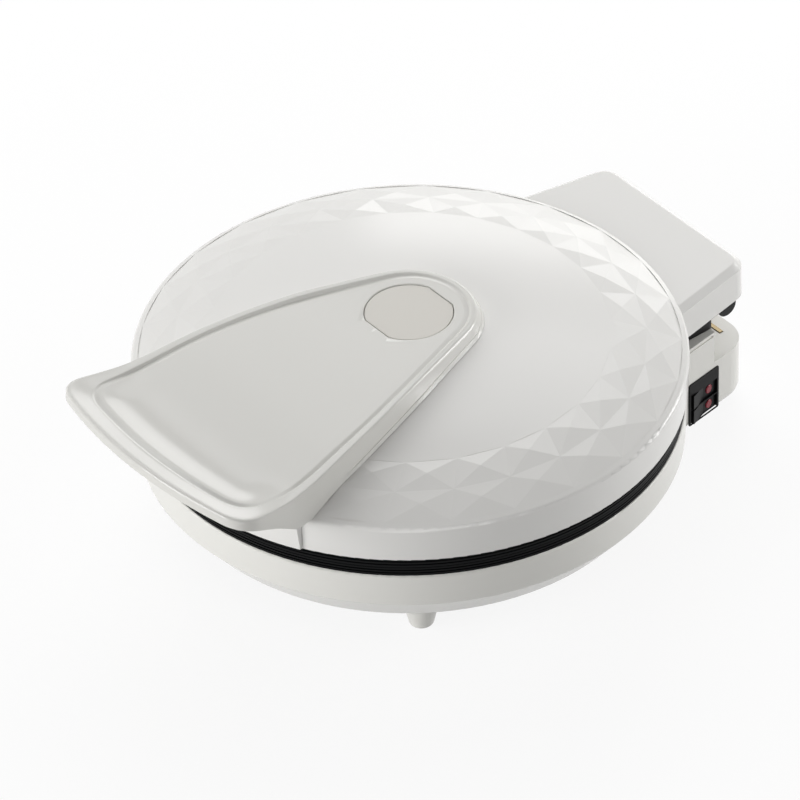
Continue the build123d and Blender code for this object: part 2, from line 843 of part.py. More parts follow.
rocker_face = pivot_depth - 0.4
half_length = rocker_length / 2
for index, height in enumerate(rocker_heights):
    with BuildPart() as rocker:
        with BuildSketch(rocker_plane(height - rocker_height / 2)):
            add(loop((
                (-half_length, -rocker_face - rocker_dip),
                (0, -rocker_face),
                (half_length, -rocker_face - rocker_dip),
                (half_length, 1.5),
                (4, 5.5),
                (-4, 5.5),
                (-half_length, 1.5),
            )))
        extrude(amount=rocker_height)
        with BuildSketch(rocker_plane(height - rocker_height / 2)):
            Circle(pin_radius + pin_clearance)
        extrude(amount=rocker_height, mode=Mode.SUBTRACT)
        with BuildSketch(lamp_plane(height).offset(-1.6)):
            Circle(lamp_radius + 0.05)
        extrude(amount=5, mode=Mode.SUBTRACT)
    finish(rocker, ("main_rocker", "upper_rocker")[index])
    with BuildPart() as lamp:
        with BuildSketch(lamp_plane(height).offset(-1.6)):
            Circle(lamp_radius)
        extrude(amount=lamp_length)
        fillet(lamp.edges().filter_by(GeomType.CIRCLE).sort_by(Axis.X)[-1], 0.6)
    finish(lamp, ("main_lamp", "upper_lamp")[index])

# Yoke: a steel sheet that slides in the housing, with two arms rolled round the hinge rod
arm_y = hinge_y - rod_radius - yoke_sheet / 2
with BuildPart() as hinge_yoke:
    with BuildSketch(Plane(origin=(0, pan_y + yoke_y + yoke_sheet / 2, 0), x_dir=(1, 0, 0), z_dir=(0, -1, 0))):
        add(loop((
            (-yoke_foot_half, yoke_bottom),
            (yoke_foot_half, yoke_bottom),
            (yoke_foot_half, yoke_shoulder),
            (yoke_half, yoke_shoulder),
            (yoke_half, yoke_top),
            (-yoke_half, yoke_top),
            (-yoke_half, yoke_shoulder),
            (-yoke_foot_half, yoke_shoulder),
        )))
    extrude(amount=yoke_sheet)
    for x in (arm_inner, -arm_outer):
        with BuildSketch(side.offset(x)):
            add(loop((
                (yoke_y - yoke_sheet / 2, yoke_top - 4),
                (yoke_y + yoke_sheet / 2, yoke_top - 4),
                (yoke_y + yoke_sheet / 2, yoke_top + 2.5),
                (arm_y + yoke_sheet / 2, yoke_top + 11.5),
                (arm_y + yoke_sheet / 2, hinge_z),
                (arm_y - yoke_sheet / 2, hinge_z),
                (arm_y - yoke_sheet / 2, yoke_top + 10.2),
                (yoke_y - yoke_sheet / 2, yoke_top + 1.2),
            )))
            with Locations((hinge_y, hinge_z)):
                Circle(rod_radius + yoke_sheet)
        extrude(amount=arm_outer - arm_inner)
    with BuildSketch(side.offset(-arm_outer - 1)):
        with Locations((hinge_y, hinge_z)):
            Circle(rod_radius)
    extrude(amount=2 * arm_outer + 2, mode=Mode.SUBTRACT)
finish(hinge_yoke, "hinge_yoke")

with BuildPart() as hinge_rod:
    with BuildSketch(side.offset(rod_start)):
        with Locations((hinge_y, hinge_z)):
            Circle(rod_radius)
    extrude(amount=rod_end - rod_start)
    chamfer(hinge_rod.edges().filter_by(GeomType.CIRCLE), 0.5)
finish(hinge_rod, "hinge_rod")

# Upper plate: a shallow cast disc with the same rim, rib and bosses turned upward
upper_places = [
    (post_circle * cos(radians(angle)), post_circle * sin(radians(angle))) for angle in upper_boss_angles
]
upper_rim_bottom = base_top + lower_flange + plate_gap
upper_back = upper_face + upper_thickness
upper_boss_top = upper_back + plate_boss_height
with BuildPart() as upper_plate:
    with BuildSketch(radial):
        add(loop((
            (0, upper_face),
            (plate_inner_radius - 2, upper_face),
            (plate_inner_radius, upper_rim_bottom),
            (plate_radius, upper_rim_bottom),
            (plate_radius, upper_rim_bottom + upper_flange),
            (plate_inner_radius + 3, upper_rim_bottom + upper_flange),
            (plate_inner_radius + 1, upper_back),
            (element_circle + element_rib_half, upper_back),
            (element_circle + element_rib_half, upper_back + element_rib_height),
            (element_circle - element_rib_half, upper_back + element_rib_height),
            (element_circle - element_rib_half, upper_back),
            (0, upper_back),
        )))
        with Locations(
            (plate_radius, upper_rim_bottom + upper_flange * 0.32),
            (plate_radius, upper_rim_bottom + upper_flange * 0.66),
        ):
            Rectangle(2 * edge_groove_depth, edge_groove_width, mode=Mode.SUBTRACT)
        with Locations((element_circle, upper_back + element_rib_height)):
            Circle(element_radius + element_clearance, mode=Mode.SUBTRACT)
    revolve(axis=pan_axis)
    with BuildSketch(level(upper_back)):
        with Locations(*upper_places):
            Circle(plate_boss_radius)
    extrude(amount=plate_boss_height)
    with BuildSketch(level(upper_boss_top)):
        with Locations(*upper_places):
            Circle(screw_shank_radius)
    extrude(amount=-6, mode=Mode.SUBTRACT)
    with BuildSketch(level(upper_back)):
        with Locations((0, element_circle)):
            Rectangle(element_exit, 2 * element_rib_half + 6)
    extrude(amount=element_rib_height, mode=Mode.SUBTRACT)
finish(upper_plate, "upper_plate")

with BuildPart() as upper_element:
    add(element(upper_back + element_rib_height))
finish(upper_element, "upper_element")

with BuildPart() as upper_reflector:
    add(reflector(upper_boss_top, False, upper_places))
finish(upper_reflector, "upper_reflector")

with BuildPart() as upper_thermostat:
    add(thermostat(upper_back, True))
finish(upper_thermostat, "upper_thermostat")

# Upper frame: pressed steel cone with three windows, from the lid's middle to the plate's bosses
frame_bottom = upper_boss_top + sheet
with BuildPart() as upper_frame:
    with BuildSketch(radial):
        add(loop((
            (0, frame_hub_height),
            (frame_hub_radius, frame_hub_height),
            (frame_ring_inner, frame_bottom),
            (frame_ring_outer, frame_bottom),
            (frame_ring_outer, frame_bottom + frame_sheet),
            (frame_ring_inner + 0.4, frame_bottom + frame_sheet),
            (frame_hub_radius + 0.4, frame_hub_height + frame_sheet),
            (0, frame_hub_height + frame_sheet),
        )))
    revolve(axis=pan_axis)
    for angle in (30, 150, 270):
        with BuildSketch(Plane(origin=(0, pan_y, frame_bottom + frame_sheet + 0.6), x_dir=(
            cos(radians(angle)), sin(radians(angle)), 0
        ), z_dir=(0, 0, 1))):
            add(loop(frame_window))
        extrude(amount=30, mode=Mode.SUBTRACT)
    with BuildSketch(level(frame_bottom - 1)):
        with Locations(*upper_places):
            Circle(screw_shank_radius + screw_clearance)
        with Locations((-crown_screw_x, 0), (crown_screw_x, 0)):
            Circle(screw_shank_radius)
    extrude(amount=40, mode=Mode.SUBTRACT)
finish(upper_frame, "upper_frame")

with BuildPart() as frame_screws:
    add(screws(upper_places, frame_bottom + frame_sheet, frame_screw_length, head_up=True))
finish(frame_screws, "frame_screws")

# Lid form: the outside of the dome as a solid, with its faceted ring and its hood
sphere_height = crown_height - crown_sphere
shoulder_height = sphere_height + sqrt(crown_sphere ** 2 - shoulder_start ** 2)
shoulder_slope = asin(shoulder_start / crown_sphere)
shoulder_centre = (
    shoulder_start - shoulder_radius * sin(shoulder_slope),
    shoulder_height - shoulder_radius * cos(shoulder_slope),
)


def dome_height(radius, inset=0.0):
    """Height of the smooth dome, or of a surface inside it, at a distance from the middle."""
    if radius < shoulder_start * (1 - inset / crown_sphere):
        return sphere_height + sqrt((crown_sphere - inset) ** 2 - radius ** 2)
    across = radius - shoulder_centre[0]
    return shoulder_centre[1] + sqrt((shoulder_radius - inset) ** 2 - across ** 2)


def dome_outline(inset=0.0, bottom=lid_bottom):
    """Half section of the dome and its skirt, drawn in by a wall where asked."""
    start = shoulder_start * (1 - inset / crown_sphere)
    band = lid_band_radius - inset
    turn = 0.5 * (start + band)
    with BuildSketch(mode=Mode.PRIVATE) as outline:
        with BuildLine():
            ThreePointArc(
                (0, crown_height - inset),
                (start / 2, dome_height(start / 2, inset)),
                (start, dome_height(start, inset)),
            )
            ThreePointArc(
                (start, dome_height(start, inset)),
                (turn, dome_height(turn, inset)),
                (band, dome_height(band, inset)),
            )
            Polyline(
                (band, dome_height(band, inset)),
                (band, lid_band_top),
                (lid_radius - inset, bottom),
                (0, bottom),
                (0, crown_height - inset),
            )
        make_face()
        if inset < lid_rim_fillet:
            corner = outline.vertices().filter_by(
                lambda v: abs(v.X - band) < 0.01 and v.Y > lid_band_top + 1
            )
            fillet(corner, lid_rim_fillet - inset)
        if not inset:
            corner = outline.vertices().filter_by(
                lambda v: abs(v.X - lid_radius) < 0.01 and abs(v.Y - bottom) < 0.01
            )
            fillet(corner, lid_lower_fillet)
    return outline.sketch


def bay_point(ring_index, bay):
    """Corner of the faceted ring: the spokes lean a little to the front."""
    radius = ring_radii[ring_index]
    angle = radians(bay_turn + bay * 360 / bay_count)
    angle = angle + radians(ring_leans[ring_index]) * cos(angle)
    return Vector(radius * cos(angle), radius * sin(angle), dome_height(radius))


def crossing(a, c, b, d):
    """Point above the crossing of a tile's two diagonals, raised by the facets' rise."""
    along = c - a
    other = d - b
    step = (b - a).cross(other).Z / along.cross(other).Z
    spot = a + along * step
    mean = (a.Z + b.Z + c.Z + d.Z) / 4
    return Vector(spot.X, spot.Y, mean + facet_rise)


def facet(*corners):
    """Flat face with straight sides."""
    return Face(Wire.make_polygon(corners))


def faceted_ring():
    """Ring of four-sided tiles, each folded into four facets, as one closed solid."""
    bays = range(bay_count)
    rows = [[bay_point(row, bay) for bay in bays] for row in range(3)]
    tops = []
    for row in range(2):
        tops.append([])
        for bay in bays:
            after = (bay + 1) % bay_count
            tops[row].append(crossing(
                rows[row][bay], rows[row + 1][after], rows[row][after], rows[row + 1][bay]
            ))
    normals = []
    for bay in bays:
        after = (bay + 1) % bay_count
        a = rows[2][bay] - tops[1][bay]
        b = rows[2][after] - tops[1][bay]
        normals.append(a.cross(b).normalized())
    edges_out = []
    for bay in bays:
        slope = normals[bay - 1].cross(normals[bay]).normalized()
        if slope.X * rows[2][bay].X + slope.Y * rows[2][bay].Y < 0:
            slope = slope * -1
        edges_out.append(rows[2][bay] + slope * relief_overrun)
    faces = []
    drop = Vector(0, 0, -relief_root)
    for bay in bays:
        after = (bay + 1) % bay_count
        for row in range(2):
            top = tops[row][bay]
            faces.append(facet(rows[row][bay], rows[row][after], top))
            faces.append(facet(rows[row][bay], top, rows[row + 1][bay]))
            faces.append(facet(rows[row][after], rows[row + 1][after], top))
            if row == 0:
                faces.append(facet(rows[1][bay], rows[1][after], top))
        faces.append(facet(
            tops[1][bay], rows[2][bay], edges_out[bay], edges_out[after], rows[2][after]
        ))
        # inner and outer walls, and the underside in flat triangles
        a = rows[0][bay]
        b = rows[0][after]
        c = edges_out[bay]
        d = edges_out[after]
        faces.append(facet(a, b, b + drop, a + drop))
        faces.append(facet(c, d, d + drop, c + drop))
        m = rows[1][bay]
        n = rows[1][after]
        faces.append(facet(a + drop, b + drop, m + drop))
        faces.append(facet(b + drop, n + drop, m + drop))
        faces.append(facet(m + drop, n + drop, c + drop))
        faces.append(facet(n + drop, d + drop, c + drop))
    return Solid(Shell(faces))


relief_circle = ring_radii[2] + 0.4
inner_polygon = [
    (bay_point(0, bay).X, bay_point(0, bay).Y) for bay in range(bay_count)
]
with BuildPart() as relief:
    add(Pos(0, pan_y, 0) * faceted_ring())
    with BuildSketch(level(lid_bottom)):
        Circle(relief_circle)
    extrude(amount=100, mode=Mode.INTERSECT)

with BuildPart() as groove_room:
    with BuildSketch(level(lid_bottom + 10)):
        Circle(relief_circle)
        add(loop(inner_polygon), mode=Mode.SUBTRACT)
    extrude(amount=60)

with BuildPart() as dome_form:
    with BuildSketch(radial):
        add(dome_outline())
    revolve(axis=pan_axis)

relief_groove = groove_room.part - Pos(0, 0, -relief_depth) * dome_form.part

hood_top = lid_bottom + hood_height
hood_corners = (
    (-hood_front_half, hood_front),
    (hood_front_half, hood_front),
    (hood_rear_half, rear_reach),
    (-hood_rear_half, rear_reach),
)


def hood_outline(inset=0.0):
    """Hood in plan."""
    with BuildSketch(mode=Mode.PRIVATE) as outline:
        add(loop(hood_corners))
        fillet(outline.vertices().group_by(Axis.Y)[-1], hood_corner)
        if inset:
            offset(amount=-inset, mode=Mode.REPLACE)
    return outline.sketch


hood_shoulder = hood_height - hood_bevel_height
hood_shoulder_inset = hood_shoulder * tan(radians(hood_draft))
with BuildPart() as hood_form:
    with BuildSketch(level(lid_bottom)):
        add(hood_outline())
    extrude(amount=hood_shoulder, taper=hood_draft)
    with BuildSketch(level(lid_bottom + hood_shoulder)):
        add(hood_outline(hood_shoulder_inset))
    extrude(amount=hood_bevel_height, taper=hood_bevel_angle)
    fillet(hood_form.edges().group_by(Axis.Z)[-1], hood_edge)

with BuildPart() as lid_form:
    add(dome_form.part)
    add(relief_groove, mode=Mode.SUBTRACT)
    add(relief.part)
    add(hood_form.part)

# Lid cover: the form made hollow, with bosses for its screws
with BuildPart() as lid_room:
    with BuildSketch(radial):
        add(dome_outline(lid_wall, lid_bottom - 1))
    revolve(axis=pan_axis)

with BuildPart() as hood_room:
    with BuildSketch(level(lid_bottom - 1)):
        add(hood_outline(lid_wall))
    extrude(amount=hood_height + 1 - lid_wall, taper=hood_draft)
    add(dome_form.part, mode=Mode.SUBTRACT)

hood_places = [(-hood_screw_x, hood_screw_y), (hood_screw_x, hood_screw_y)]
crown_places = [(-crown_screw_x, 0), (crown_screw_x, 0)]
handle_places = [(-handle_screw_x, -handle_screw_y), (handle_screw_x, -handle_screw_y)]
frame_hub_top = frame_hub_height + frame_sheet
with BuildPart() as lid_cover:
    add(lid_form.part)
    add(lid_room.part, mode=Mode.SUBTRACT)
    add(hood_room.part, mode=Mode.SUBTRACT)
    with BuildSketch(level(hood_floor_top)):
        with Locations(*hood_places):
            Circle(screw_boss_radius)
    extrude(amount=hood_top - lid_wall - hood_floor_top + 0.5)
    with BuildSketch(level(frame_hub_top)):
        with Locations(*crown_places):
            Circle(crown_boss_radius)
    extrude(amount=crown_height - lid_wall - frame_hub_top + 0.5)
    with BuildSketch(level(handle_screw_seat)):
        with Locations(*handle_places):
            Circle(screw_boss_radius)
    extrude(amount=2.8)
    with BuildSketch(level(frame_hub_top - 1)):
        with Locations(*handle_places):
            Circle(screw_shank_radius + screw_clearance)
        with Locations(*crown_places):
            Circle(screw_shank_radius + screw_clearance)
    extrude(amount=60, mode=Mode.SUBTRACT)
    with BuildSketch(level(hood_floor_top)):
        with Locations(*hood_places):
            Circle(screw_shank_radius)
    extrude(amount=12, mode=Mode.SUBTRACT)
    # way through for the wires, between the dome and the hood
    with BuildSketch(level(hood_floor_top)):
        with Locations((0, lid_radius)):
            Rectangle(hood_wire_width, hood_wire_length)
    extrude(amount=hood_wire_height, mode=Mode.SUBTRACT)
finish(lid_cover, "lid_cover")


# Handle
def shield(apex, flank, reach, inset=0.0, corner=lip_corner):
    """Outline of the handle in plan: round apex, straight flanks and a bowed front."""
    flank = radians(flank)
    corner_y = -(reach - lip_sag)
    corner_x = (apex - corner_y * sin(flank)) / cos(flank)
    tangent = (apex * cos(flank), apex * sin(flank))
    with BuildSketch(mode=Mode.PRIVATE) as outline:
        with BuildLine():
            ThreePointArc(tangent, (0, apex), (-tangent[0], tangent[1]))
            Line((-tangent[0], tangent[1]), (-corner_x, corner_y))
            ThreePointArc((-corner_x, corner_y), (0, -reach), (corner_x, corner_y))
            Line((corner_x, corner_y), tangent)
        make_face()
        fillet(outline.vertices().group_by(Axis.Y)[0], corner)
        if inset:
            offset(amount=-inset, mode=Mode.REPLACE)
    return outline.sketch


lip_low_reach = front_reach + (lip_bottom - outline_low) * lip_lean
lip_high_reach = front_reach - (outline_high - lip_bottom) * lip_lean


def handle_walls(inset=0.0):
    """Solid between the handle's low and high outlines."""
    with BuildPart(mode=Mode.PRIVATE) as walls:
        with BuildSketch(level(outline_low)):
            add(shield(apex_low_radius, flank_low_angle, lip_low_reach, inset))
        with BuildSketch(level(outline_high)):
            add(shield(apex_high_radius, flank_high_angle, lip_high_reach, inset))
        loft(ruled=True)
    return walls.part


def across(outline, reach=120):
    """Solid with one long section right across the handle."""
    with BuildPart(mode=Mode.PRIVATE) as slab:
        with BuildSketch(side):
            add(outline)
        extrude(amount=reach, both=True)
    return slab.part


def below(line, rise, floor):
    """Long section between one of the handle's lines and a level below it."""
    with BuildSketch(mode=Mode.PRIVATE) as outline:
        with BuildLine():
            curve = Spline(*[(y, z + rise) for y, z in line])
            Polyline(curve @ 1, (line[-1][0], floor), (line[0][0], floor), curve @ 0)
        make_face()
    return outline.sketch


def inside_crest(outer, inner=None):
    """Upright solid inside the crest, from one inset to another or to the middle."""
    with BuildPart(mode=Mode.PRIVATE) as room:
        with BuildSketch(level(outline_low)):
            add(shield(crest_apex, crest_flank, crest_reach, outer, crest_corner))
            if inner:
                add(shield(crest_apex, crest_flank, crest_reach, inner, crest_corner), mode=Mode.SUBTRACT)
        extrude(amount=outline_high - outline_low + 1)
    return room.part


def cap_plan(gap=0.0):
    """Round cap with its front and rear cut flat."""
    with BuildSketch(mode=Mode.PRIVATE) as outline:
        Circle(cap_radius + gap)
        Rectangle(2 * cap_radius + 10, 2 * (cap_half_length + gap), mode=Mode.INTERSECT)
    return outline.sketch


cavity_front = front_reach - handle_front_wall
under_crest = across(below(crest_line, 0, 60))
under_dish = across(below(dish_line, 0, 60))
under_ceiling = across(below(dish_line, -handle_wall, 60))
under_grip = across(below(grip_line, 0, 40))
under_grip_top = across(below(grip_line, grip_thickness, 40))
handle_form = (handle_walls() & under_crest) - under_grip
dish = inside_crest(crest_width) - under_dish
rim_groove = inside_crest(groove_outer, groove_inner) - across(below(dish_line, -groove_sink, 60))
under_bead = across(below(dish_line, bead_rise, 60))
rim_bead = (inside_crest(bead_outer, bead_inner) & under_bead) - across(below(dish_line, -1, 60))
cavity = split(
    handle_walls(handle_wall) & under_ceiling,
    Plane((0, pan_y - cavity_front, 0), z_dir=(0, 1, 0)),
)
seat_form = Pos(0, 0, handle_seat) * lid_form.part
pocket_floor = cap_top - pocket_depth

with BuildPart() as handle:
    add(handle_form)
    add(dish, mode=Mode.SUBTRACT)
    add(rim_groove, mode=Mode.SUBTRACT)
    add(rim_bead)
    add(cavity, mode=Mode.SUBTRACT)
    # cup for the cap, and bosses for the two front screws
    with BuildSketch(level(outline_low)):
        add(cap_plan(cap_gap + 2))
    extrude(amount=cap_top - 1.5 - outline_low)
    with BuildSketch(level(outline_low)):
        with Locations(*handle_places):
            Circle(handle_boss_radius)
    extrude(amount=handle_boss_top - outline_low)
    with BuildSketch(level(pocket_floor)):
        add(cap_plan(cap_gap))
    extrude(amount=20, mode=Mode.SUBTRACT)
    add(seat_form, mode=Mode.SUBTRACT)
    with BuildSketch(level(outline_low)):
        with Locations(*crown_places):
            Circle(screw_shank_radius + screw_clearance)
    extrude(amount=60, mode=Mode.SUBTRACT)
    with BuildSketch(level(outline_low)):
        with Locations(*handle_places):
            Circle(screw_shank_radius)
    extrude(amount=handle_screw_seat + handle_screw_length + 0.5 - outline_low, mode=Mode.SUBTRACT)
finish(handle, "handle")

# Grip: the underside of the lip, and an apron that hangs down over the lid's skirt
under_grip_limit = across(below(dish_line, -handle_wall - grip_clearance, 60))
grip_plate = (handle_walls(handle_wall + grip_clearance) & under_grip_top & under_grip_limit) - under_grip
grip_plate = split(grip_plate, Plane((0, pan_y - cavity_front + grip_clearance, 0), z_dir=(0, 1, 0)))
apron_inner = lid_band_radius + apron_gap
with BuildPart() as apron:
    with BuildSketch(radial):
        add(loop((
            (apron_inner, apron_bottom),
            (apron_inner + apron_foot_thickness, apron_bottom),
            (apron_inner + apron_head_thickness, outline_low),
            (apron_inner + apron_head_thickness, handle_boss_top),
            (apron_inner, handle_boss_top),
        )))
    revolve(axis=pan_axis)
    with BuildSketch(level(apron_bottom)):
        with Locations((0, -apron_inner)):
            Rectangle(2 * apron_half, apron_inner)
    extrude(amount=handle_boss_top - apron_bottom, mode=Mode.INTERSECT)
apron_foot = split(apron.part, Plane((0, 0, outline_low)), keep=Keep.BOTTOM)
apron_head = apron.part & handle_walls(handle_wall + grip_clearance) & under_grip_top
with BuildPart() as grip:
    add(grip_plate)
    add(seat_form, mode=Mode.SUBTRACT)
    add(apron_foot)
    add(apron_head)
finish(grip, "grip")

with BuildPart() as handle_screws:
    add(screws(handle_places, handle_screw_seat, handle_screw_length))
finish(handle_screws, "handle_screws")

with BuildPart() as crown_screws:
    add(screws(crown_places, pocket_floor, -1 * (frame_hub_height - 4 - pocket_floor), head_up=True))
finish(crown_screws, "crown_screws")

# Cap: a thin matt plate that snaps into the handle over the middle screws
with BuildPart() as handle_cap:
    with BuildSketch(level(cap_top - cap_thickness)):
        add(cap_plan())
    extrude(amount=cap_thickness)
    fillet(handle_cap.edges().group_by(Axis.Z)[-1], 0.4)
    with BuildSketch(level(pocket_floor)):
        with Locations((0, cap_half_length - 2), (0, 2 - cap_half_length)):
            Rectangle(12, 1.6)
    extrude(amount=cap_top - cap_thickness - pocket_floor)
finish(handle_cap, "handle_cap")

# Hood floor: black plate under the hood with the hinge's barrels and a block over the base
hood_inner = lid_wall + hood_floor_gap
with BuildPart() as hood_floor:
    with BuildSketch(level(hood_floor_bottom)):
        add(hood_outline(hood_inner))
        Circle(lid_band_radius + hood_floor_gap, mode=Mode.SUBTRACT)
    extrude(amount=hood_floor_top - hood_floor_bottom)
    with BuildSketch(level(hood_floor_bottom)):
        add(hood_outline(hood_floor_lip))
        Circle(lid_band_radius + hood_floor_gap, mode=Mode.SUBTRACT)
    extrude(amount=lid_bottom - hood_floor_bottom - hood_floor_gap)
    with BuildSketch(level(block_top + belly_gap)):
        add(hood_outline(hood_inner))
        Circle(lid_band_radius + hood_floor_gap, mode=Mode.SUBTRACT)
        with Locations((0, belly_rear + 50)):
            Rectangle(400, 100, mode=Mode.SUBTRACT)
        Rectangle(2 * belly_half, 600, mode=Mode.INTERSECT)
    extrude(amount=hood_floor_bottom - block_top - belly_gap)
    for start, end in (
        (-barrel_outer, -barrel_inner),
        (-centre_barrel, centre_barrel),
        (barrel_inner, barrel_outer),
    ):
        with BuildSketch(side.offset(start)):
            with Locations((hinge_y, hinge_z)):
                Circle(barrel_radius)
        extrude(amount=end - start)
    with BuildSketch(level(hood_floor_bottom - 1)):
        with Locations(
            (-(arm_inner + arm_outer) / 2, hinge_y),
            ((arm_inner + arm_outer) / 2, hinge_y),
        ):
            Rectangle(arm_outer - arm_inner + 2 * arm_clearance, arm_slot)
    extrude(amount=6, mode=Mode.SUBTRACT)
    with BuildSketch(side.offset(-barrel_outer - 1)):
        with Locations((hinge_y, hinge_z)):
            Circle(rod_radius + rod_clearance)
    extrude(amount=rod_end + 0.3 + barrel_outer + 1, mode=Mode.SUBTRACT)
    with BuildSketch(level(base_top)):
        with Locations(*hood_places):
            Circle(screw_head_radius + screw_clearance)
    extrude(amount=hood_screw_seat - base_top, mode=Mode.SUBTRACT)
    with BuildSketch(level(base_top)):
        with Locations(*hood_places):
            Circle(screw_shank_radius + screw_clearance)
    extrude(amount=30, mode=Mode.SUBTRACT)
finish(hood_floor, "hood_floor")

with BuildPart() as hood_screws:
    add(screws(hood_places, hood_screw_seat, hood_screw_length))
finish(hood_screws, "hood_screws")
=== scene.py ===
import math

import bpy
from mathutils import Matrix, Vector


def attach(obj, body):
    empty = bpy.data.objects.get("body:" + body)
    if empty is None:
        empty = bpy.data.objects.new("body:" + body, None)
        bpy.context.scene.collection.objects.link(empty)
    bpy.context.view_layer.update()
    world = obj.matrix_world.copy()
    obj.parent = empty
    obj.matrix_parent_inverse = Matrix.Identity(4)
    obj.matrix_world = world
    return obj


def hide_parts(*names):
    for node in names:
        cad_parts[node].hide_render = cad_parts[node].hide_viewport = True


# A round clamshell griddle in glossy white plastic, closed: a deep base with a folded-in lower
# edge, a domed lid with a ring of folded facets, and a long handle that sweeps up to a lip.
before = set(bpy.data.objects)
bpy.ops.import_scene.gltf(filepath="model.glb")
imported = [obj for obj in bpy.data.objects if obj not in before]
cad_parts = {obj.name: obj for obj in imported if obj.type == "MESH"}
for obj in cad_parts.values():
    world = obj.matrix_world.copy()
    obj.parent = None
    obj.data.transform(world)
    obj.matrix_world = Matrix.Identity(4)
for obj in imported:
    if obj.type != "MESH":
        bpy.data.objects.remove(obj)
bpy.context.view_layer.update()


# Base casing and bottom cover. Two mouldings in warm white polypropylene, screwed together
# from below. The mould is polished outside, so the plastic shines softly, and large walls
# sink and swell by a few hundredths of a millimetre as they cool.
def linear(code):
    """Linear colour of an sRGB hex code."""
    channels = [int(code[start:start + 2], 16) / 255 for start in (1, 3, 5)]
    return (*(c / 12.92 if c <= 0.04045 else ((c + 0.055) / 1.055) ** 2.4 for c in channels), 1.0)


def add(material, kind, settings, links=()):
    """Add a shader node with its properties, input values and incoming links."""
    node = material.node_tree.nodes.new(kind)
    for name, value in settings.items():
        if name in node.bl_rna.properties:
            setattr(node, name, value)
        else:
            node.inputs[name].default_value = value
    for name, source in dict(links).items():
        material.node_tree.links.new(source, node.inputs[name])
    return node


def material(name, colour, roughness, ior=1.5, metallic=0.0):
    """New material with a plain surface; returns it and its shader."""
    made = bpy.data.materials.new(name)
    made.use_nodes = True
    shader = made.node_tree.nodes["Principled BSDF"]
    shader.inputs["Base Color"].default_value = linear(colour)
    shader.inputs["Roughness"].default_value = roughness
    shader.inputs["IOR"].default_value = ior
    shader.inputs["Metallic"].default_value = metallic
    return made, shader


def uneven(made, shader, spacing, depth, detail=2.0):
    """Unevenness of a surface: a noise of that spacing and depth, both in millimetres."""
    place = add(made, "ShaderNodeTexCoord", {})
    noise = add(made, "ShaderNodeTexNoise", {"Scale": 1000 / spacing, "Detail": detail}, {
        "Vector": place.outputs["Object"],
    })
    bump = add(made, "ShaderNodeBump", {"Strength": 1.0, "Distance": depth / 1000}, {
        "Height": noise.outputs["Fac"],
    })
    made.node_tree.links.new(bump.outputs["Normal"], shader.inputs["Normal"])
    return noise


def dress(made, slot, *names):
    """Give CAD pieces their material; the slot is not used."""
    for name in names:
        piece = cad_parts[name]
        piece.data.materials.clear()
        piece.data.materials.append(made)


base_white, base_shader = material("polypropylene_polished_white", "#E7E6E1", 0.26, ior=1.49)
uneven(base_white, base_shader, spacing=14.0, depth=0.02)
dress(base_white, "base_plastic", "base_shell", "bottom_cover")


# Plates. Cast aluminium with a fired fluoropolymer coating: near black, satin, and slightly
# dimpled like a fine orange peel. The rims are what shows in the dark gap round the griddle; their
# real near black is set darker still as painted shade for the shadow in that gap.
coating_with_painted_shade, coating_shader = material("nonstick_coating_with_painted_shade", "#0A0B0C", 0.4, ior=1.4)
uneven(coating_with_painted_shade, coating_shader, spacing=0.9, depth=0.012)
coating_shader.inputs["Specular IOR Level"].default_value = 0.12
dress(coating_with_painted_shade, "plate_coating", "lower_plate", "upper_plate")


# Heating elements. Stainless tube packed with heating wire, pressed into the plates' ribs;
# the sheath turns straw to brown where it has been hot.
sheath, sheath_shader = material("stainless_sheath_heat_tinted", "#8B8178", 0.34, metallic=1.0)
sheath_noise = uneven(sheath, sheath_shader, spacing=6.0, depth=0.01)
sheath_tint = add(sheath, "ShaderNodeValToRGB", {}, {"Fac": sheath_noise.outputs["Fac"]})
sheath_tint.color_ramp.elements[0].color = linear("#6E6258")
sheath_tint.color_ramp.elements[1].color = linear("#9C958C")
sheath.node_tree.links.new(sheath_tint.outputs["Color"], sheath_shader.inputs["Base Color"])
dress(sheath, "element_steel", "lower_element", "upper_element")


# Reflectors. Thin aluminised steel dishes pressed in one stroke; the hot-dipped skin has a
# soft spangle of crystals about 8 mm across.
spangle, spangle_shader = material("aluminised_sheet_spangled", "#C9CACB", 0.36, metallic=1.0)
spangle_place = add(spangle, "ShaderNodeTexCoord", {})
spangle_cells = add(spangle, "ShaderNodeTexVoronoi", {"Scale": 1000 / 8.0}, {
    "Vector": spangle_place.outputs["Object"],
})
spangle_rough = add(spangle, "ShaderNodeMapRange", {"To Min": 0.30, "To Max": 0.46}, {
    "Value": spangle_cells.outputs["Color"],
})
spangle.node_tree.links.new(spangle_rough.outputs["Result"], spangle_shader.inputs["Roughness"])
dress(spangle, "reflector_steel", "lower_reflector", "upper_reflector")


# Thermostats. Round bimetal switches in a nickel-plated can with two spade tabs, clipped
# against the plates.
nickel, nickel_shader = material("nickel_plated_steel", "#C4C0B6", 0.28, metallic=1.0)
uneven(nickel, nickel_shader, spacing=0.5, depth=0.004)
dress(nickel, "thermostat_steel", "lower_thermostat", "upper_thermostat")


# Terminal block. Natural polyamide moulding with sunk screw holes; slightly milky.
polyamide, polyamide_shader = material("polyamide_natural", "#E2DED0", 0.45, ior=1.53)
uneven(polyamide, polyamide_shader, spacing=1.5, depth=0.01)
dress(polyamide, "terminal_plastic", "terminal_block")


# Cord gland. Moulded black rubber bush through the housing's side.
rubber, rubber_shader = material("rubber_moulded_black", "#1F1F1F", 0.62, ior=1.52)
uneven(rubber, rubber_shader, spacing=0.8, depth=0.02)
dress(rubber, "gland_rubber", "cord_gland")


